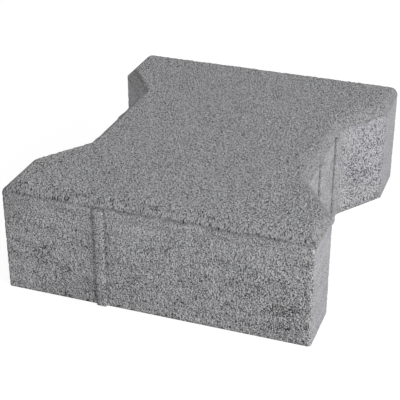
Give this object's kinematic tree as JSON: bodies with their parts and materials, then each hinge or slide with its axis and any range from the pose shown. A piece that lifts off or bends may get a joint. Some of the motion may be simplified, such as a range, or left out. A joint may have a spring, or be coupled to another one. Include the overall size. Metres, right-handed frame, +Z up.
{
  "type": "concrete paving stone",
  "caption": "Double-T interlocking concrete paving stone, grey, with a bevelled wearing face, sloping shoulders and upright spacer nibs on its walls.",
  "frame": {"origin": "on the bed face, in the middle of the plan", "axes": "+Z up from the bed face to the wearing face, Y along the length, X across the flanges"},
  "size_m": [0.165, 0.2, 0.062],
  "materials": {
    "concrete": "vibrated grey concrete, finely pitted, matt"
  },
  "bodies": {
    "root": {"paving_stone": "concrete"}
  },
  "joints": []
}
